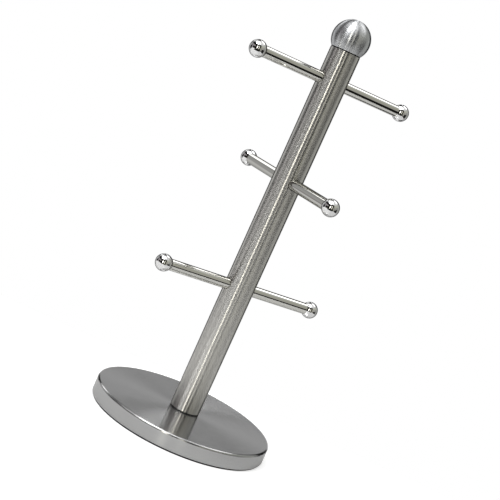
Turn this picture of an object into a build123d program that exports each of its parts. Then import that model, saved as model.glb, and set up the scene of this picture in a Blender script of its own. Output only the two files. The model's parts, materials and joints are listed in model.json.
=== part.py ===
"""Free-standing mug tree in stainless steel.

A weighted round base carries an upright post on a nylon bush. Three cross rods
pass through the post, each with a ball at both ends, and a larger ball closes
the top. The post turns on the base about one central screw.

The origin is the centre of the base's underside, +Z is up along the post, the
upper and lower rods lie along X and the middle rod lies along Y.
"""

import os
from math import sqrt

from build123d import *

os.makedirs("parts", exist_ok=True)

# Base: a pressed cover over a cast weight, on a foam pad
base_diameter = 153.0
base_height = 14.4
cover_wall = 0.8
rim_bend_radius = 1.0
cover_edge_break = 0.2
pad_thickness = 2.0
pad_stand_out = 1.4
pad_side_gap = 0.1
pad_edge_radius = 0.3
weight_side_gap = 0.3
weight_corner_margin = 0.6

# Post and the plugs pressed into its two ends
post_diameter = 25.4
post_wall = 1.0
post_length = 318.2
post_edge_break = 0.12
foot_plug_length = 18.0
top_plug_length = 14.0
top_plug_flange_inset = 0.3
plug_edge_break = 0.5
press_gap = 0.05

# Cross rods and their balls
rod_diameter = 9.5
rod_span = 145.5
upper_rod_drop = 25.7
middle_rod_drop = 86.4
lower_rod_rise = 111.2
rod_hole_gap = 0.2
rod_hole_edge_radius = 0.2
rod_edge_break = 0.35
end_ball_swell = 2.35
spigot_diameter = 6.0
spigot_length = 6.0
spigot_edge_break = 0.5

# Finial ball, the gap under it that the top plug's flange fills, and the set screw that holds it
finial_swell = 3.3
finial_gap = 0.8
finial_edge_break = 0.12
set_screw_diameter = 6.0
set_screw_in_ball = 9.0
set_screw_in_plug = 10.0
set_screw_key = 3.0
set_screw_key_depth = 3.0
set_screw_edge_break = 0.5

# Pivot at the foot of the post: screw, washers and flanged bush
screw_diameter = 8.0
screw_in_plug = 14.0
screw_head_diameter = 14.0
screw_head_height = 4.4
screw_head_crown = 3.2
screw_key = 5.0
screw_key_depth = 2.6
screw_floor_gap = 1.0
screw_edge_break = 0.8
flat_washer_diameter = 16.0
flat_washer_thickness = 1.6
spring_washer_diameter = 14.4
spring_washer_thickness = 2.0
spring_washer_slit = 1.2
washer_bore_gap = 0.2
washer_edge_break = 0.25
recess_gap = 1.0
pad_hole_gap = 1.0
bush_wall = 2.0
bush_flange_thickness = 1.1
bush_flange_inset = 0.2
bush_end_gap = 0.3
running_gap = 0.05

# Threads are plain cylinders at their nominal size, with a gap round and past them
thread_gap = 0.05
drill_gap = 1.0

# Hexagon keys turn both screws
key_sides = 6

# Radii and heights that follow from the sizes above
base_radius = base_diameter / 2
cover_height = base_height - pad_stand_out
cover_inner_radius = base_radius - cover_wall
weight_radius = cover_inner_radius - weight_side_gap
weight_top = base_height - cover_wall
pad_radius = cover_inner_radius - pad_side_gap

post_radius = post_diameter / 2
post_bore_radius = post_radius - post_wall
plug_radius = post_bore_radius - press_gap
post_foot = base_height + bush_flange_thickness
post_top = post_foot + post_length
finial_low = post_top + finial_gap
top_plug_low = post_top - top_plug_length

rod_radius = rod_diameter / 2
spigot_radius = spigot_diameter / 2
end_ball_radius = rod_radius + end_ball_swell
end_ball_seat = sqrt(end_ball_radius**2 - rod_radius**2)
rod_half_length = rod_span / 2 - end_ball_seat
upper_rod_height = post_top - upper_rod_drop
middle_rod_height = upper_rod_height - middle_rod_drop
lower_rod_height = post_foot + lower_rod_rise

finial_radius = post_radius + finial_swell
finial_seat = sqrt(finial_radius**2 - post_radius**2)
set_screw_radius = set_screw_diameter / 2

screw_radius = screw_diameter / 2
spring_washer_low = screw_floor_gap + screw_head_height
flat_washer_low = spring_washer_low + spring_washer_thickness
recess_floor = flat_washer_low + flat_washer_thickness
recess_radius = flat_washer_diameter / 2 + recess_gap
bush_bore_radius = screw_radius + running_gap
bush_radius = bush_bore_radius + bush_wall

# Each rod's plane stands at its height, square to the rod
rod_planes = {
    "upper": Plane(origin=(0, 0, upper_rod_height), x_dir=(0, 1, 0), z_dir=(1, 0, 0)),
    "middle": Plane(origin=(0, 0, middle_rod_height), x_dir=(-1, 0, 0), z_dir=(0, 1, 0)),
    "lower": Plane(origin=(0, 0, lower_rod_height), x_dir=(0, 1, 0), z_dir=(1, 0, 0)),
}
rod_ends = {"upper": ("left", "right"), "middle": ("front", "back"), "lower": ("left", "right")}


def save(piece, label):
    """Labels a finished piece and writes it as its own STEP file."""
    piece.part.label = label
    export_step(piece.part, f"parts/{label}.step")


def is_outer_hole_edge(edge):
    """True for the curved edge where a rod hole meets the outside of the post."""
    start = edge.position_at(0)
    on_outside = sqrt(start.X**2 + start.Y**2) > post_radius - post_wall / 2
    return on_outside and edge.geom_type not in (GeomType.CIRCLE, GeomType.LINE)


def make_plug(label, low, length, bore_radius, flange_thickness=0):
    """A tapped steel slug that is pressed into the bore of the post, with any flange on top of it."""
    with BuildPart() as plug:
        with BuildSketch(Plane.XY.offset(low)):
            Circle(plug_radius)
        extrude(amount=length)
        chamfer(plug.edges().filter_by(GeomType.CIRCLE), plug_edge_break)
        if flange_thickness:
            with BuildSketch(Plane.XY.offset(low + length)):
                Circle(post_radius - top_plug_flange_inset)
            extrude(amount=flange_thickness)
        with BuildSketch(Plane.XY.offset(low)):
            Circle(bore_radius)
        extrude(amount=length + flange_thickness, mode=Mode.SUBTRACT)
    save(plug, label)


def make_rod(label, plane):
    """A cross rod centred on the post, turned down to a spigot at each end."""
    with BuildPart() as rod:
        with BuildSketch(plane):
            Circle(rod_radius)
        extrude(amount=rod_half_length, both=True)
        chamfer(rod.edges().filter_by(GeomType.CIRCLE), rod_edge_break)
        with BuildSketch(plane):
            Circle(spigot_radius)
        extrude(amount=rod_half_length + spigot_length, both=True)
        along = Axis(plane.origin, plane.z_dir)
        flat_ends = rod.faces().filter_by(along).sort_by(along)
        chamfer(flat_ends[0].edges() + flat_ends[-1].edges(), spigot_edge_break)
    save(rod, label)


def make_end_ball(label, plane):
    """A ball on the outward plane, with a flat seat and a blind hole for the spigot."""
    with BuildPart(plane) as ball:
        Sphere(end_ball_radius)
        split(bisect_by=plane.offset(-end_ball_seat), keep=Keep.TOP)
        with BuildSketch(plane.offset(-end_ball_seat)):
            Circle(spigot_radius + thread_gap)
        extrude(amount=spigot_length + drill_gap, mode=Mode.SUBTRACT)
    save(ball, label)


# Base cover: a flat dish, open below, with the bush's hole in its middle
with BuildPart() as base_cover:
    with BuildSketch(Plane.XZ) as cover_section:
        with Locations((0, pad_stand_out)):
            Rectangle(base_radius, cover_height, align=Align.MIN)
            rim_corner = cover_section.vertices().group_by(Axis.Y)[-1].sort_by(Axis.X)[-1]
            fillet(rim_corner, rim_bend_radius + cover_wall)
            Rectangle(cover_inner_radius, cover_height - cover_wall, align=Align.MIN, mode=Mode.SUBTRACT)
            inner_corner = cover_section.vertices().sort_by_distance((cover_inner_radius, weight_top))[0]
            fillet(inner_corner, rim_bend_radius)
            Rectangle(bush_radius + press_gap, cover_height, align=Align.MIN, mode=Mode.SUBTRACT)
    revolve(axis=Axis.Z)
    lower_rim = base_cover.edges().group_by(Axis.Z)[0].sort_by(SortBy.RADIUS)[-1]
    chamfer(lower_rim, cover_edge_break)
save(base_cover, "base_cover")

# Base weight: a cast disc that fills the cover, recessed below for the screw
with BuildPart() as base_weight:
    with BuildSketch(Plane.XY.offset(pad_thickness)):
        Circle(weight_radius)
    extrude(amount=weight_top - pad_thickness)
    chamfer(base_weight.edges().group_by(Axis.Z)[-1], rim_bend_radius + weight_corner_margin)
    with Locations(base_weight.faces().sort_by(Axis.Z)[0]):
        CounterBoreHole(bush_radius + press_gap, recess_radius, recess_floor - pad_thickness)
save(base_weight, "base_weight")

# Base pad: the foam ring that the tree stands on
with BuildPart() as base_pad:
    with BuildSketch(Plane.XY):
        Circle(pad_radius)
        Circle(recess_radius + pad_hole_gap, mode=Mode.SUBTRACT)
    extrude(amount=pad_thickness)
    fillet(base_pad.edges().group_by(Axis.Z)[0], pad_edge_radius)
save(base_pad, "base_pad")

# Pivot bush: its flange is the dark ring between the base and the post
with BuildPart() as pivot_bush:
    with BuildSketch(Plane.XY.offset(base_height)):
        Circle(post_radius - bush_flange_inset)
    extrude(amount=bush_flange_thickness)
    with BuildSketch(Plane.XY.offset(base_height)):
        Circle(bush_radius)
    extrude(amount=recess_floor + bush_end_gap - base_height)
    with BuildSketch(Plane.XY.offset(post_foot)):
        Circle(bush_bore_radius)
    extrude(amount=recess_floor - post_foot, mode=Mode.SUBTRACT)
save(pivot_bush, "pivot_bush")

# Pivot screw: button head in the recess, thread up into the foot plug
with BuildPart() as pivot_screw:
    with BuildSketch(Plane.XY.offset(screw_floor_gap)):
        Circle(screw_head_diameter / 2)
    extrude(amount=screw_head_height)
    fillet(pivot_screw.edges().group_by(Axis.Z)[0], screw_head_crown)
    with BuildSketch(Plane.XY.offset(spring_washer_low)):
        Circle(screw_radius)
    extrude(amount=post_foot + screw_in_plug - spring_washer_low)
    chamfer(pivot_screw.edges().group_by(Axis.Z)[-1], screw_edge_break)
    with BuildSketch(Plane.XY.offset(screw_floor_gap)):
        RegularPolygon(screw_key / 2, key_sides, major_radius=False)
    extrude(amount=screw_key_depth, mode=Mode.SUBTRACT)
save(pivot_screw, "pivot_screw")

# Spring washer: a split ring that keeps the pivot lightly loaded
with BuildPart() as spring_washer:
    with BuildSketch(Plane.XY.offset(spring_washer_low)):
        Circle(spring_washer_diameter / 2)
        Circle(screw_radius + washer_bore_gap, mode=Mode.SUBTRACT)
        slit_align = (Align.MIN, Align.CENTER)
        Rectangle(spring_washer_diameter, spring_washer_slit, align=slit_align, mode=Mode.SUBTRACT)
    extrude(amount=spring_washer_thickness)
save(spring_washer, "spring_washer")

# Flat washer: bears on the floor of the recess
with BuildPart() as flat_washer:
    with BuildSketch(Plane.XY.offset(flat_washer_low)):
        Circle(flat_washer_diameter / 2)
        Circle(screw_radius + washer_bore_gap, mode=Mode.SUBTRACT)
    extrude(amount=flat_washer_thickness)
    chamfer(flat_washer.edges().group_by(Axis.Z)[0].sort_by(SortBy.RADIUS)[-1], washer_edge_break)
save(flat_washer, "flat_washer")

# Post tube: pierced right through for each rod
with BuildPart() as post_tube:
    with BuildSketch(Plane.XY.offset(post_foot)):
        Circle(post_radius)
        Circle(post_bore_radius, mode=Mode.SUBTRACT)
    extrude(amount=post_length)
    chamfer(post_tube.edges().filter_by(GeomType.CIRCLE).sort_by(SortBy.RADIUS)[-2:], post_edge_break)
    for rod_plane in rod_planes.values():
        with BuildSketch(rod_plane):
            Circle(rod_radius + rod_hole_gap)
        extrude(amount=post_diameter, both=True, mode=Mode.SUBTRACT)
    hole_edges = post_tube.edges().filter_by(is_outer_hole_edge)
    fillet(hole_edges, rod_hole_edge_radius)
save(post_tube, "post_tube")

# Plugs: the foot plug takes the pivot screw, and the top plug takes the set screw. The flange of the
# top plug lies on the end of the post and is the dark line under the finial ball
make_plug("foot_plug", post_foot, foot_plug_length, screw_radius + thread_gap)
make_plug("top_plug", top_plug_low, top_plug_length, set_screw_radius + thread_gap, finial_gap)

# Finial set screw: half in the top plug, half in the ball
with BuildPart() as finial_set_screw:
    with BuildSketch(Plane.XY.offset(finial_low - set_screw_in_plug)):
        Circle(set_screw_radius)
    extrude(amount=set_screw_in_plug + set_screw_in_ball)
    chamfer(finial_set_screw.edges().filter_by(GeomType.CIRCLE), set_screw_edge_break)
    with BuildSketch(Plane.XY.offset(finial_low - set_screw_in_plug)):
        RegularPolygon(set_screw_key / 2, key_sides, major_radius=False)
    extrude(amount=set_screw_key_depth, mode=Mode.SUBTRACT)
save(finial_set_screw, "finial_set_screw")

# Finial ball: cut flat where it seats on the top plug's flange, at the width of the post
with BuildPart(Plane.XY.offset(finial_low + finial_seat)) as finial_ball:
    Sphere(finial_radius)
    split(bisect_by=Plane.XY.offset(finial_low), keep=Keep.TOP)
    chamfer(finial_ball.edges().group_by(Axis.Z)[0], finial_edge_break)
    with BuildSketch(Plane.XY.offset(finial_low)):
        Circle(set_screw_radius + thread_gap)
    extrude(amount=set_screw_in_ball + drill_gap, mode=Mode.SUBTRACT)
save(finial_ball, "finial_ball")

# Cross rods, each with a ball screwed on at both ends
for level, rod_plane in rod_planes.items():
    make_rod(f"{level}_rod", rod_plane)
    for side, end in zip((-1, 1), rod_ends[level]):
        outward = Plane(
            origin=rod_plane.origin + rod_plane.z_dir * side * rod_span / 2,
            x_dir=rod_plane.x_dir,
            z_dir=rod_plane.z_dir * side,
        )
        make_end_ball(f"{level}_ball_{end}", outward)
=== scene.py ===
"""Looks of the mug tree: its finishes, its foam pad, the table, the studio round it and the camera."""

import json
from math import cos, pi, radians, sin

import bpy
from mathutils import Matrix, Vector


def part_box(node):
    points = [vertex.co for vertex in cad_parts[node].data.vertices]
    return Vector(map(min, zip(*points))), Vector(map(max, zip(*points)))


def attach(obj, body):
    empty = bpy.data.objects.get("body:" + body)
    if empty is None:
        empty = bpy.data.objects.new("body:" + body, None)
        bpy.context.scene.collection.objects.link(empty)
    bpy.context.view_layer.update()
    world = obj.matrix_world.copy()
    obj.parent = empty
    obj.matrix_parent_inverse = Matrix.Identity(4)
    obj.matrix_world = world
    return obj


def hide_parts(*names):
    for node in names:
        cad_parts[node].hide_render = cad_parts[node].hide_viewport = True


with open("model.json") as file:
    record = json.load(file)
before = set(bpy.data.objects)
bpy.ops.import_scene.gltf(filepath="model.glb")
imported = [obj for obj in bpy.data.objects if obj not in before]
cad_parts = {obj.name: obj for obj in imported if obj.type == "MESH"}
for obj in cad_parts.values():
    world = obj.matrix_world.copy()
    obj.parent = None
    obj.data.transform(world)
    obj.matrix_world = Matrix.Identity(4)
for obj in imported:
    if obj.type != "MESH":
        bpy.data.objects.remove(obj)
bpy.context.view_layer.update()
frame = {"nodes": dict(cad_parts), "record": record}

# Camera, worked out from the outlines of the base, post and balls (metres and degrees)
IMAGE_SIDE_PX = 500
FOCAL_PX = 1229.7
SENSOR_MM = 36.0
CAMERA_DISTANCE = 0.98725
CAMERA_HEIGHT = 0.3014
CAMERA_AZIMUTH = -31.608
CAMERA_PAN = 0.263
CAMERA_TILT = 8.254
CAMERA_ROLL = 24.246
MATRIX_SIZE = 4

# Foam pad: how far its hole clears the washer, and how its edges are softened (metres)
PAD_HOLE_MARGIN = 0.002
PAD_EDGE = 0.0005
PAD_EDGE_STEPS = 4
PAD_SIDES = 128

# Brushing: lines to a metre, breaks in a line on its way round, and the tone at the foot of a scratch as
# a share of the steel's. Bands of many lines are wider than a line by one over their share.
FINE_LINES = 8000.0
COARSE_LINES = 3000.0
LINE_BREAKS = 3.0
SCRATCH_DETAIL = 3.0
SCRATCH_TONE = 0.9
BAND_SHARE = 0.07
BAND_DETAIL = 2.0
QUARTER_TURN = 0.25

# Marks from handling: how many to a metre, the share that they cover, and how soft their edges are
STEEL_MARKS = 45.0
STEEL_MARK_COVER = 0.45
STEEL_MARK_ROUGHNESS = 0.02
POLISH_MARKS = 90.0
POLISH_MARK_COVER = 0.5
MARK_DETAIL = 3.0
MARK_DISTORTION = 0.6
MARK_SOFT = 0.25

# Grain of nylon, foam and cast iron: clouds of grains vary the tone and the roughness
GRAINS_TO_CLOUD = 4
CLOUD_DETAIL = 4.0
CLOUD_TONE = 1.7
CLOUD_ROUGHNESS = 0.1
GRAIN_STRENGTH = 0.6

# Pale table top: its reach from the object, its rounded corners, and its tones. Its tone is painted darker
# to the right as painted shade, within these distances of the object's middle (metres)
TABLE_FRONT = 0.47
TABLE_BACK = 0.14
TABLE_LEFT = 0.80
TABLE_RIGHT = 0.51
TABLE_CORNER = 0.10
TABLE_CORNER_STEPS = 8
TABLE_TONE_LEFT = (0.74, 0.74, 0.74)
TABLE_TONE_PAINTED_SHADE_RIGHT = (0.57, 0.57, 0.57)
TABLE_PAINTED_SHADE_FROM = 0.00
TABLE_PAINTED_SHADE_TO = 0.13

# How far the table is lifted towards white, where the camera sees it straight and in metal
TABLE_LIFT_SEEN = 0.56
TABLE_LIFT_MIRRORED = 0.04

# Studio walls and ceiling, as seen from the object. Bearings are counted from the camera, left is
# negative, and the ceiling starts at these heights (degrees).
WALL_LEFT = (0.30, 0.28, 0.29)
WALL_RIGHT = (0.42, 0.43, 0.39)
WALL_BACK = (0.58, 0.58, 0.58)
WALLS_BLEND_WITHIN = 25.0
WALL_BACK_FROM = 110.0
WALL_BACK_FULL = 150.0
CEILING = (0.70, 0.70, 0.70)
CEILING_FROM_LEFT = 48.0
CEILING_FROM_LEFT_BACK = 30.0
CEILING_FROM_RIGHT = 50.0
CEILING_FROM_BEHIND = 48.0
CEILING_SOFT_LEFT = 3.0
CEILING_SOFT_RIGHT = 14.0
BEHIND_FROM = 150.0
BEHIND_FULL = 175.0

# A dark ring round the white backdrop draws the dark outlines of the polished metal. It is counted in
# degrees off the line to the camera.
DARK_RING_FROM = 132.0
DARK_RING_TO = 158.0
DARK_RING_SOFT = 3.0
DARK_RING = (0.02, 0.02, 0.02)

# Things that stand round the table: bearing from the camera (left is negative) and height, both as
# a range in degrees, then the softness of their edges in degrees and their brightness
STUDIO_THINGS = {
    "below_table": ((-190.0, 190.0), (-95.0, -18.0), 2.0, 0.03),
    "side_table": ((-112.0, -40.0), (-50.0, -13.0), 2.0, 0.9),
    "back_table_left": ((-166.0, -110.0), (-50.0, -16.0), 2.0, 0.72),
    "back_table_right": ((100.0, 155.0), (-42.0, -13.0), 3.0, 0.45),
    "left_wall": ((-140.0, -120.0), (-16.0, 12.0), 2.0, 0.7),
    "left_door": ((-121.0, -104.0), (-6.0, 12.0), 2.0, 0.42),
    "left_back_wall": ((-142.0, -100.0), (11.0, 35.0), 2.0, 0.38),
    "back_roof": ((-190.0, -122.0), (36.0, 68.0), 3.0, 0.12),
    "low_window": ((-165.0, -132.0), (26.0, 36.0), 1.5, 2.2),
    "strip_light": ((-176.8, -172.8), (33.0, 46.0), 0.7, 5.6),
    "roof": ((-112.0, 8.0), (24.0, 47.0), 2.0, 0.01),
    "roof_right": ((2.0, 40.0), (23.0, 50.0), 3.0, 0.02),
    "black_curtain": ((-38.0, -15.0), (-14.0, 49.0), 2.0, 0.01),
    "cabinet": ((-70.0, -15.0), (-14.0, 10.0), 2.0, 0.01),
    "left_stand": ((-112.0, -83.0), (-28.0, 4.0), 2.0, 0.01),
    "left_post": ((-101.0, -89.0), (-26.0, 16.0), 1.5, 0.01),
    "camera_stand": ((-5.0, 8.5), (-26.0, 60.0), 1.0, 0.01),
    "lamp_foot": ((-13.5, -6.8), (-5.0, 7.0), 1.0, 2.4),
    "lamp": ((-13.5, -6.8), (7.0, 26.0), 1.0, 6.2),
    "front_card": ((10.0, 16.0), (0.0, 36.0), 1.5, 1.4),
    "camera_case": ((18.0, 33.0), (-10.0, 47.0), 2.0, 0.01),
    "table_edge": ((-24.0, 44.0), (-34.0, -8.0), 2.0, 0.01),
    "right_shade": ((38.0, 108.0), (-20.0, 24.0), 5.0, 0.28),
    "right_wall": ((59.0, 69.0), (6.0, 26.0), 2.0, 0.42),
    "right_case": ((56.0, 94.0), (-26.0, 5.0), 2.0, 0.01),
    "overhead_left": ((-124.0, -84.0), (50.0, 85.0), 4.0, 2.0),
    "back_light_right": ((115.0, 174.0), (49.0, 68.0), 4.0, 2.8),
    "overhead_front": ((-40.0, -6.0), (47.0, 82.0), 3.0, 3.0),
    "overhead_right": ((-6.0, 24.0), (60.0, 84.0), 3.0, 3.0),
    "soft_box": ((-66.0, -38.0), (47.0, 82.0), 3.0, 9.8),
}

# The front of the studio, below the lights, is tinted warm (bearings and heights in degrees)
WARM_TINT = (1.0, 0.97, 0.85)
WARM_CENTRE = 20.0
WARM_REACH = 110.0
WARM_UP_TO = 40.0
WARM_SOFT = 6.0

# The white backdrop behind the object, as metal and glass show it (bearings and heights in degrees)
WHITE = (1.0, 1.0, 1.0)
BACKDROP_FROM = 160.0
BACKDROP_SOFT = 3.0
BACKDROP_TOP = 8.0
BACKDROP_TOP_SOFT = 2.0

# Sockets of a Mix node, whose names are the same for values and for colours
MIX_FACTOR = 0
MIX_VALUES = (2, 3)
MIX_COLOURS = (6, 7)
MIX_VALUE_RESULT = 0
MIX_COLOUR_RESULT = 2

# Directions from the object: up, to the camera, and to the right as the camera sees it
UP = (0.0, 0.0, 1.0)
LEVEL_PART = (1.0, 1.0, 0.0)
azimuth = radians(CAMERA_AZIMUTH)
to_camera = Vector((sin(azimuth), -cos(azimuth), 0.0))
to_right = Vector((-to_camera.y, to_camera.x, 0.0))


def grey(level):
    """A neutral colour."""
    return (level, level, level)


def solid(colour):
    """A colour with full opacity, as a socket takes it."""
    return (*colour, 1.0)


def connect(tree, node, inputs):
    """Gives a node's inputs their values, or links them to the outputs of other nodes."""
    for name, value in inputs.items():
        if isinstance(value, bpy.types.NodeSocket):
            tree.links.new(value, node.inputs[name])
        else:
            node.inputs[name].default_value = value


def add(tree, kind, inputs=None, **settings):
    """Adds a node with these settings, and gives its inputs their values or links."""
    made = tree.nodes.new(kind)
    for name, value in settings.items():
        setattr(made, name, value)
    connect(tree, made, inputs or {})
    return made


def calculate(tree, operation, *values):
    """A Math node's result for these values or links."""
    made = add(tree, "ShaderNodeMath", dict(enumerate(values)), operation=operation)
    return made.outputs["Value"]


def vector_math(tree, operation, *vectors):
    """A Vector Math node that joins these vectors or links."""
    return add(tree, "ShaderNodeVectorMath", dict(enumerate(vectors)), operation=operation)


def scaled(tree, vector, factor):
    """A vector times a factor."""
    made = add(tree, "ShaderNodeVectorMath", {0: vector, "Scale": factor}, operation="SCALE")
    return made.outputs["Vector"]


def smooth(tree, value, low, high):
    """Runs smoothly from 0 at low to 1 at high."""
    inputs = {"Value": value, "From Min": low, "From Max": high}
    made = add(tree, "ShaderNodeMapRange", inputs, interpolation_type="SMOOTHSTEP")
    return made.outputs["Result"]


def within(tree, value, limits, soft):
    """1 within the limits and 0 outside them, with soft edges."""
    low, high = limits
    rise = smooth(tree, value, low - soft, low + soft)
    fall = smooth(tree, value, high + soft, high - soft)
    return calculate(tree, "MULTIPLY", rise, fall)


def ramp(tree, value, low, high):
    """Maps 0 to 1 onto low to high."""
    made = add(tree, "ShaderNodeMapRange", {"Value": value, "To Min": low, "To Max": high})
    return made.outputs["Result"]


def mix_value(tree, factor, first, second):
    """Mixes two values by a factor."""
    inputs = {MIX_FACTOR: factor, **dict(zip(MIX_VALUES, (first, second)))}
    made = add(tree, "ShaderNodeMix", inputs, data_type="FLOAT")
    return made.outputs[MIX_VALUE_RESULT]


def mix_colour(tree, factor, first, second):
    """Mixes two colours by a factor."""
    inputs = {MIX_FACTOR: factor}
    for socket, colour in zip(MIX_COLOURS, (first, second)):
        linked = isinstance(colour, bpy.types.NodeSocket)
        inputs[socket] = colour if linked else solid(colour)
    made = add(tree, "ShaderNodeMix", inputs, data_type="RGBA")
    return made.outputs[MIX_COLOUR_RESULT]


def new_group(name, inputs, outputs):
    """An empty shader node group with these sockets, and the nodes that hold them."""
    group = bpy.data.node_groups.new(name, "ShaderNodeTree")
    for socket_name, default in inputs.items():
        socket = group.interface.new_socket(socket_name, in_out="INPUT", socket_type="NodeSocketFloat")
        socket.default_value = default
    for socket_name, kind in outputs.items():
        group.interface.new_socket(socket_name, in_out="OUTPUT", socket_type=kind)
    return group, add(group, "NodeGroupInput"), add(group, "NodeGroupOutput")


def line_noise(tree, place, depth, detail):
    """Noise at a place that is counted in lines already, so it isn't scaled again."""
    inputs = {"Vector": place, "W": depth, "Scale": 1.0, "Detail": detail}
    return add(tree, "ShaderNodeTexNoise", inputs, noise_dimensions="4D").outputs[0]


def make_ring_brush():
    """Fine scratches that run round the upright axis, as a belt or a lathe leaves them."""
    group, given, result = new_group(
        "ring_brush",
        {"Lines per metre": FINE_LINES, "Breaks": LINE_BREAKS, "Tilt": 0.0},
        {"Scratches": "NodeSocketFloat", "Bands": "NodeSocketFloat", "Normal": "NodeSocketVector"},
    )
    place = add(group, "ShaderNodeTexCoord").outputs["Object"]
    up = add(group, "ShaderNodeSeparateXYZ", {0: place}).outputs["Z"]
    outward = vector_math(group, "MULTIPLY", place, LEVEL_PART).outputs["Vector"]
    radius = vector_math(group, "LENGTH", outward).outputs["Value"]
    heading = vector_math(group, "NORMALIZE", outward).outputs["Vector"]

    # A place counted in lines, upwards and outwards, and in breaks on the way round
    lines_up = calculate(group, "MULTIPLY", up, given.outputs["Lines per metre"])
    lines_out = calculate(group, "MULTIPLY", radius, given.outputs["Lines per metre"])
    turned = scaled(group, heading, given.outputs["Breaks"])
    raised = add(group, "ShaderNodeCombineXYZ", {"Z": lines_up}).outputs["Vector"]
    around = vector_math(group, "ADD", turned, raised).outputs["Vector"]
    scratches = line_noise(group, around, lines_out, SCRATCH_DETAIL)
    bands_around = scaled(group, around, BAND_SHARE)
    bands_out = calculate(group, "MULTIPLY", lines_out, BAND_SHARE)
    bands = line_noise(group, bands_around, bands_out, BAND_DETAIL)

    # The scratches tip the surface across the brushing: noise from 0 to 1 swings from -1 to 1
    ring = vector_math(group, "CROSS_PRODUCT", UP, heading).outputs["Vector"]
    ring = add(
        group,
        "ShaderNodeVectorTransform",
        {0: ring},
        vector_type="VECTOR",
        convert_from="OBJECT",
        convert_to="WORLD",
    ).outputs["Vector"]
    normal = add(group, "ShaderNodeNewGeometry").outputs["Normal"]
    across = vector_math(group, "CROSS_PRODUCT", normal, ring).outputs["Vector"]
    swing = calculate(group, "MULTIPLY_ADD", scratches, 2.0, -1.0)
    swing = calculate(group, "MULTIPLY", swing, given.outputs["Tilt"])
    tipped = vector_math(group, "ADD", normal, scaled(group, across, swing)).outputs["Vector"]
    tipped = vector_math(group, "NORMALIZE", tipped).outputs["Vector"]
    connect(group, result, {"Scratches": scratches, "Bands": bands, "Normal": tipped})
    return group


def make_handling_marks():
    """Soft blotches where hands and cloths have dulled a polished surface."""
    group, given, result = new_group(
        "handling_marks",
        {"Marks per metre": STEEL_MARKS, "Cover": STEEL_MARK_COVER},
        {"Marks": "NodeSocketFloat"},
    )
    place = add(group, "ShaderNodeTexCoord").outputs["Object"]
    cloud = add(
        group,
        "ShaderNodeTexNoise",
        {
            "Vector": place,
            "Scale": given.outputs["Marks per metre"],
            "Detail": MARK_DETAIL,
            "Distortion": MARK_DISTORTION,
        },
    ).outputs[0]
    low = calculate(group, "SUBTRACT", 1.0, given.outputs["Cover"])
    high = calculate(group, "ADD", low, MARK_SOFT)
    connect(group, result, {"Marks": smooth(group, cloud, low, high)})
    return group


ring_brush = make_ring_brush()
handling_marks = make_handling_marks()


def empty_tree(owner):
    """The node tree of a material or a world, with nothing in it."""
    owner.use_nodes = True
    owner.node_tree.nodes.clear()
    return owner.node_tree


def new_material(name):
    """A material with its tree and its Principled shader."""
    material = bpy.data.materials.new(name)
    tree = empty_tree(material)
    shader = add(tree, "ShaderNodeBsdfPrincipled")
    add(tree, "ShaderNodeOutputMaterial", {"Surface": shader.outputs["BSDF"]})
    return material, tree, shader


def brushed_steel(name, colour, dull, bright, anisotropy, lines, tilt, edge=1.0):
    """Steel brushed round the upright axis, with reflections that blur across the lines.

    Its roughness runs from bright to dull between the bands, and edge tints what it reflects aslant.
    """
    material, tree, shader = new_material(name)
    brush = add(
        tree, "ShaderNodeGroup", {"Lines per metre": lines, "Tilt": tilt}, node_tree=ring_brush
    ).outputs
    marks = add(
        tree,
        "ShaderNodeGroup",
        {"Marks per metre": STEEL_MARKS, "Cover": STEEL_MARK_COVER},
        node_tree=handling_marks,
    ).outputs["Marks"]
    darker = tuple(SCRATCH_TONE * part for part in colour)
    dulling = calculate(tree, "MULTIPLY", marks, STEEL_MARK_ROUGHNESS)
    tangent = add(tree, "ShaderNodeTangent", direction_type="RADIAL", axis="Z").outputs["Tangent"]
    connect(
        tree,
        shader,
        {
            "Base Color": mix_colour(tree, brush["Scratches"], darker, colour),
            "Roughness": calculate(tree, "ADD", ramp(tree, brush["Bands"], bright, dull), dulling),
            "Metallic": 1.0,
            "Specular Tint": solid(grey(edge)),
            "Anisotropic": anisotropy,
            "Anisotropic Rotation": QUARTER_TURN,
            "Normal": brush["Normal"],
            "Tangent": tangent,
        },
    )
    return material


def polished_metal(name, colour, roughness, mark_roughness, edge=1.0):
    """Bright metal with faint marks from handling, where edge tints what it reflects aslant."""
    material, tree, shader = new_material(name)
    marks = add(
        tree,
        "ShaderNodeGroup",
        {"Marks per metre": POLISH_MARKS, "Cover": POLISH_MARK_COVER},
        node_tree=handling_marks,
    ).outputs["Marks"]
    connect(
        tree,
        shader,
        {
            "Base Color": solid(colour),
            "Roughness": ramp(tree, marks, roughness, mark_roughness),
            "Metallic": 1.0,
            "Specular Tint": solid(grey(edge)),
        },
    )
    return material


def grained_solid(name, colour, roughness, grains, depth, metallic=0.0):
    """A matte surface of nylon, foam or cast iron, with its grains to a metre and their depth in metres."""
    material, tree, shader = new_material(name)
    place = add(tree, "ShaderNodeTexCoord").outputs["Object"]
    cells = add(tree, "ShaderNodeTexVoronoi", {"Vector": place, "Scale": grains}).outputs["Distance"]
    cloud = add(
        tree,
        "ShaderNodeTexNoise",
        {"Vector": place, "Scale": grains / GRAINS_TO_CLOUD, "Detail": CLOUD_DETAIL},
    ).outputs[0]
    lighter = tuple(CLOUD_TONE * part for part in colour)
    height = calculate(tree, "ADD", cells, cloud)
    bump = add(tree, "ShaderNodeBump", {"Height": height, "Distance": depth, "Strength": GRAIN_STRENGTH})
    connect(
        tree,
        shader,
        {
            "Base Color": mix_colour(tree, cloud, colour, lighter),
            "Roughness": ramp(tree, cloud, roughness - CLOUD_ROUGHNESS, roughness + CLOUD_ROUGHNESS),
            "Metallic": metallic,
            "Normal": bump.outputs["Normal"],
        },
    )
    return material


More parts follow.
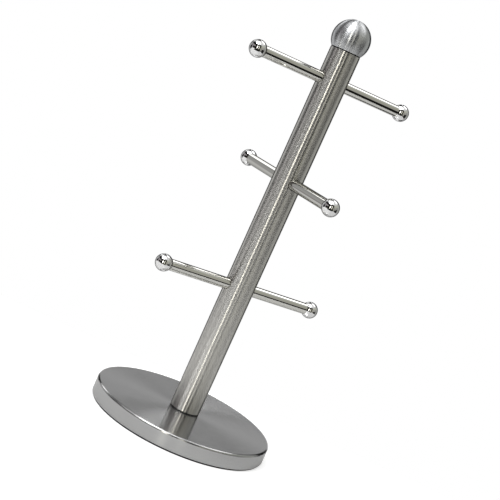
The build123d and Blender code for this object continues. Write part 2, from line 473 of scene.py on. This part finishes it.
# One finish for each material slot of the record
finishes = {
    "cover_steel": brushed_steel(
        "cover_steel",
        colour=grey(0.52),
        dull=0.22,
        bright=0.19,
        anisotropy=0.9,
        lines=FINE_LINES,
        tilt=0.08,
        edge=0.8,
    ),
    "post_steel": brushed_steel(
        "post_steel",
        colour=(0.755, 0.743, 0.71),
        dull=0.295,
        bright=0.277,
        anisotropy=1.0,
        lines=FINE_LINES,
        tilt=0.12,
        edge=0.4,
    ),
    "finial_steel": brushed_steel(
        "finial_steel",
        colour=(0.695, 0.706, 0.72),
        dull=0.32,
        bright=0.30,
        anisotropy=1.0,
        lines=FINE_LINES,
        tilt=0.12,
        edge=0.6,
    ),
    # Near-black plug steel: the top plug's flange under the finial shows as a black line, painted shade
    # that stands for the shade in that joint
    "plug_steel": brushed_steel(
        "plug_steel",
        colour=grey(0.04),
        dull=0.5,
        bright=0.4,
        anisotropy=0.5,
        lines=COARSE_LINES,
        tilt=0.3,
    ),
    "rod_chrome": polished_metal(
        "rod_chrome", colour=(0.725, 0.72, 0.685), roughness=0.03, mark_roughness=0.06, edge=0.3
    ),
    "ball_chrome": polished_metal(
        "ball_chrome", colour=grey(0.90), roughness=0.01, mark_roughness=0.02, edge=0.0
    ),
    "plated_steel": polished_metal(
        "plated_steel", colour=(0.55, 0.56, 0.57), roughness=0.2, mark_roughness=0.3
    ),
    "black_nylon": grained_solid(
        "black_nylon", colour=(0.012, 0.012, 0.013), roughness=0.5, grains=4000.0, depth=0.00002
    ),
    "pad_foam": grained_solid(
        "pad_foam", colour=(0.018, 0.018, 0.019), roughness=0.85, grains=1800.0, depth=0.0001
    ),
    "weight_iron": grained_solid(
        "weight_iron", colour=(0.05, 0.05, 0.052), roughness=0.6, grains=900.0, depth=0.0001, metallic=0.6
    ),
}

for subpart in frame["record"]["subparts"]:
    mesh = frame["nodes"][subpart["node"]].data
    mesh.materials.clear()
    mesh.materials.append(finishes[subpart["material_slot"]])


def make_pad():
    """The black foam ring under the base, cut from sheet, with softened edges."""
    low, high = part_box("base_pad")
    _, washer_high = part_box("flat_washer")
    hole_radius = washer_high[0] + PAD_HOLE_MARGIN
    bpy.ops.object.select_all(action="DESELECT")
    bpy.ops.mesh.primitive_circle_add(vertices=PAD_SIDES, radius=high[0], location=(0.0, 0.0, low[2]))
    pad = bpy.context.object
    pad.name = "foam_pad"
    bpy.ops.object.transform_apply(location=True)
    bpy.ops.object.mode_set(mode="EDIT")
    bpy.ops.mesh.primitive_circle_add(vertices=PAD_SIDES, radius=hole_radius, location=(0.0, 0.0, low[2]))
    bpy.ops.mesh.select_all(action="SELECT")
    bpy.ops.mesh.bridge_edge_loops()
    bpy.ops.mesh.select_all(action="SELECT")
    rise = {"value": (0.0, 0.0, high[2] - low[2])}
    bpy.ops.mesh.extrude_region_move(TRANSFORM_OT_translate=rise)
    bpy.ops.mesh.select_all(action="SELECT")
    bpy.ops.mesh.normals_make_consistent(inside=False)
    bpy.ops.object.mode_set(mode="OBJECT")
    edges = pad.modifiers.new("softened_edges", "BEVEL")
    edges.width = PAD_EDGE
    edges.segments = PAD_EDGE_STEPS
    bpy.ops.object.modifier_apply(modifier=edges.name)
    bpy.ops.object.shade_smooth_by_angle()
    pad.data.materials.append(finishes["pad_foam"])
    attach(pad, "base")
    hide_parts("base_pad")


def shown_to_eye(tree):
    """Two masks: what the camera sees straight, and what it sees by way of metal and glass."""
    path = add(tree, "ShaderNodeLightPath").outputs
    mirrored = calculate(tree, "MAXIMUM", path["Is Glossy Ray"], path["Is Transmission Ray"])
    return path["Is Camera Ray"], mirrored


def pale_table():
    """Pale paint darkened to the right by painted shade, and lifted towards white where the camera sees it.
    """
    material = bpy.data.materials.new("pale_table")
    tree = empty_tree(material)
    place = add(tree, "ShaderNodeTexCoord").outputs["Object"]
    across = vector_math(tree, "DOT_PRODUCT", place, to_right).outputs["Value"]
    # Painted shade: the table's colour darkens towards the right, standing in for light that falls off
    # there
    painted_shade = smooth(tree, across, TABLE_PAINTED_SHADE_FROM, TABLE_PAINTED_SHADE_TO)
    tone = mix_colour(tree, painted_shade, TABLE_TONE_LEFT, TABLE_TONE_PAINTED_SHADE_RIGHT)
    diffuse = add(tree, "ShaderNodeBsdfDiffuse", {"Color": tone})
    direct, mirrored = shown_to_eye(tree)
    lift = calculate(tree, "MULTIPLY", direct, TABLE_LIFT_SEEN)
    lift = calculate(tree, "MULTIPLY_ADD", mirrored, TABLE_LIFT_MIRRORED, lift)
    glow = add(tree, "ShaderNodeEmission", {"Strength": lift})
    both = add(tree, "ShaderNodeAddShader", {0: diffuse.outputs["BSDF"], 1: glow.outputs["Emission"]})
    add(tree, "ShaderNodeOutputMaterial", {"Surface": both.outputs["Shader"]})
    return material


def make_table():
    """A pale table top with rounded corners, which keeps the soft shadow of the base."""
    bpy.ops.object.select_all(action="DESELECT")
    bpy.ops.mesh.primitive_plane_add(size=1.0)
    table = bpy.context.object
    table.name = "table"
    table.scale = (TABLE_LEFT + TABLE_RIGHT, TABLE_FRONT + TABLE_BACK, 1.0)
    table.rotation_euler = (0.0, 0.0, azimuth)
    forward = to_camera * (TABLE_FRONT - TABLE_BACK) / 2
    sideways = to_right * (TABLE_RIGHT - TABLE_LEFT) / 2
    table.location = forward + sideways
    bpy.ops.object.transform_apply(location=True, rotation=True, scale=True)
    bpy.ops.object.mode_set(mode="EDIT")
    bpy.ops.mesh.select_all(action="SELECT")
    bpy.ops.mesh.bevel(offset=TABLE_CORNER, segments=TABLE_CORNER_STEPS, affect="VERTICES")
    bpy.ops.object.mode_set(mode="OBJECT")
    table.data.materials.append(pale_table())


def room_colour(tree, turn, bearing, height):
    """The colour of the studio's walls and ceiling in a direction."""
    rightness = smooth(tree, bearing, -WALLS_BLEND_WITHIN, WALLS_BLEND_WITHIN)
    off_front = calculate(tree, "ABSOLUTE", bearing)
    walls = mix_colour(tree, rightness, WALL_LEFT, WALL_RIGHT)
    walls = mix_colour(tree, smooth(tree, off_front, WALL_BACK_FROM, WALL_BACK_FULL), walls, WALL_BACK)

    # 1 straight to the camera and 0 straight away from it
    frontness = calculate(tree, "MULTIPLY_ADD", calculate(tree, "COSINE", turn), 0.5, 0.5)
    left_edge = ramp(tree, frontness, CEILING_FROM_LEFT_BACK, CEILING_FROM_LEFT)
    side_edge = mix_value(tree, rightness, left_edge, CEILING_FROM_RIGHT)
    behind = smooth(tree, off_front, BEHIND_FROM, BEHIND_FULL)
    edge = mix_value(tree, behind, side_edge, CEILING_FROM_BEHIND)
    soft = ramp(tree, rightness, CEILING_SOFT_LEFT, CEILING_SOFT_RIGHT)
    low = calculate(tree, "SUBTRACT", edge, soft)
    high = calculate(tree, "ADD", edge, soft)
    return mix_colour(tree, smooth(tree, height, low, high), walls, CEILING)


def warm_tint(tree, bearing, height):
    """The warm tint of the front of the studio, which fades out to the sides and towards the lights."""
    off_centre = calculate(tree, "ABSOLUTE", calculate(tree, "SUBTRACT", bearing, WARM_CENTRE))
    below_lights = smooth(tree, height, WARM_UP_TO + WARM_SOFT, WARM_UP_TO - WARM_SOFT)
    warmth = calculate(tree, "MULTIPLY", smooth(tree, off_centre, WARM_REACH, 0.0), below_lights)
    return mix_colour(tree, warmth, WHITE, WARM_TINT)


def white_backdrop(tree, bearing, height):
    """A mask of the white behind the object: all of it seen straight, and its low part in metal."""
    direct, mirrored = shown_to_eye(tree)
    low = smooth(tree, height, BACKDROP_TOP + BACKDROP_TOP_SOFT, BACKDROP_TOP - BACKDROP_TOP_SOFT)
    off_front = calculate(tree, "ABSOLUTE", bearing)
    behind = smooth(tree, off_front, BACKDROP_FROM - BACKDROP_SOFT, BACKDROP_FROM + BACKDROP_SOFT)
    in_metal = calculate(tree, "MULTIPLY", mirrored, calculate(tree, "MULTIPLY", behind, low))
    return calculate(tree, "MAXIMUM", direct, in_metal)


def make_studio():
    """White behind the object, and the studio that its metal reflects."""
    world = bpy.data.worlds.new("studio")
    bpy.context.scene.world = world
    tree = empty_tree(world)
    heading = add(tree, "ShaderNodeTexCoord").outputs["Generated"]
    ahead = vector_math(tree, "DOT_PRODUCT", heading, to_camera).outputs["Value"]
    aside = vector_math(tree, "DOT_PRODUCT", heading, to_right).outputs["Value"]
    turn = calculate(tree, "ARCTAN2", aside, ahead)
    bearing = calculate(tree, "DEGREES", turn)
    up = add(tree, "ShaderNodeSeparateXYZ", {0: heading}).outputs["Z"]
    height = calculate(tree, "DEGREES", calculate(tree, "ARCSINE", up))
    off_axis = calculate(tree, "DEGREES", calculate(tree, "ARCCOSINE", ahead))

    colour = room_colour(tree, turn, bearing, height)
    ring = within(tree, off_axis, (DARK_RING_FROM, DARK_RING_TO), DARK_RING_SOFT)
    colour = mix_colour(tree, ring, colour, DARK_RING)
    for bearings, heights, soft, brightness in STUDIO_THINGS.values():
        across = within(tree, bearing, bearings, soft)
        upward = within(tree, height, heights, soft)
        colour = mix_colour(tree, calculate(tree, "MULTIPLY", across, upward), colour, grey(brightness))
    colour = vector_math(tree, "MULTIPLY", colour, warm_tint(tree, bearing, height)).outputs["Vector"]
    seen = mix_colour(tree, white_backdrop(tree, bearing, height), colour, WHITE)
    back = add(tree, "ShaderNodeBackground", {"Color": seen})
    add(tree, "ShaderNodeOutputWorld", {"Surface": back.outputs["Background"]})


def make_camera():
    """A long lens, rolled as the photograph is."""
    data = bpy.data.cameras.new("camera")
    data.sensor_width = SENSOR_MM
    data.lens = FOCAL_PX / IMAGE_SIDE_PX * SENSOR_MM
    camera = bpy.data.objects.new("camera", data)
    bpy.context.scene.collection.objects.link(camera)
    place = to_camera * CAMERA_DISTANCE + Vector((0.0, 0.0, CAMERA_HEIGHT))
    turn = Matrix.Rotation(radians(CAMERA_AZIMUTH + CAMERA_PAN), MATRIX_SIZE, "Z")
    tilt = Matrix.Rotation(pi / 2 - radians(CAMERA_TILT), MATRIX_SIZE, "X")
    roll = Matrix.Rotation(radians(CAMERA_ROLL), MATRIX_SIZE, "Z")
    camera.matrix_world = Matrix.Translation(place) @ turn @ tilt @ roll
    bpy.context.scene.camera = camera


make_pad()
make_table()
make_studio()
make_camera()
bpy.context.scene.view_settings.view_transform = "Standard"
